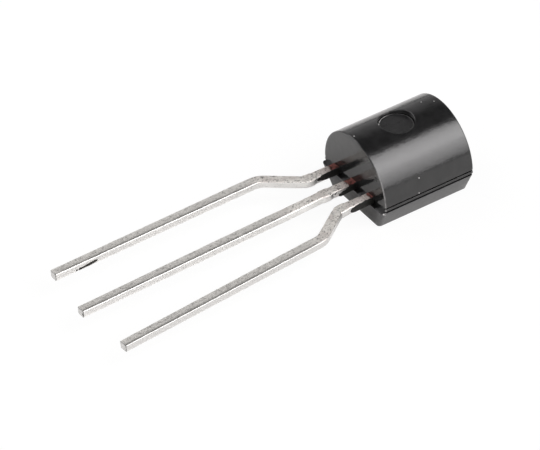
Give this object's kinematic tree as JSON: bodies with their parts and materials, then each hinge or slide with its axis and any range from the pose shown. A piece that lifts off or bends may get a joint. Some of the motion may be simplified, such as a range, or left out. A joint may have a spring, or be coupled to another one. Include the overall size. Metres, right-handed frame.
{
  "type": "to-92 transistor",
  "caption": "Small through-hole transistor with a half-round black epoxy body, a bevelled flat side and long tinned leads, the outer ones cranked apart.",
  "frame": {"origin": "on the flat side, halfway along the rounded half and on its centre plane", "axes": "+X runs from the lead tips to the closed end of the body, +Y points to lead 1's side, +Z rises from the flat side to the crown of the rounded side"},
  "size_m": [0.0184, 0.0061, 0.0036],
  "materials": {
    "epoxy": "gloss",
    "tinned_lead": "satin",
    "silicon": "polished",
    "die_attach": "matte",
    "gold_wire": "polished"
  },
  "bodies": {
    "root": {"epoxy_body": "epoxy", "lead_1": "tinned_lead", "lead_2": "tinned_lead", "lead_3": "tinned_lead", "silicon_die": "silicon", "die_attach": "die_attach", "bond_wire_1": "gold_wire", "bond_wire_3": "gold_wire"}
  },
  "joints": []
}
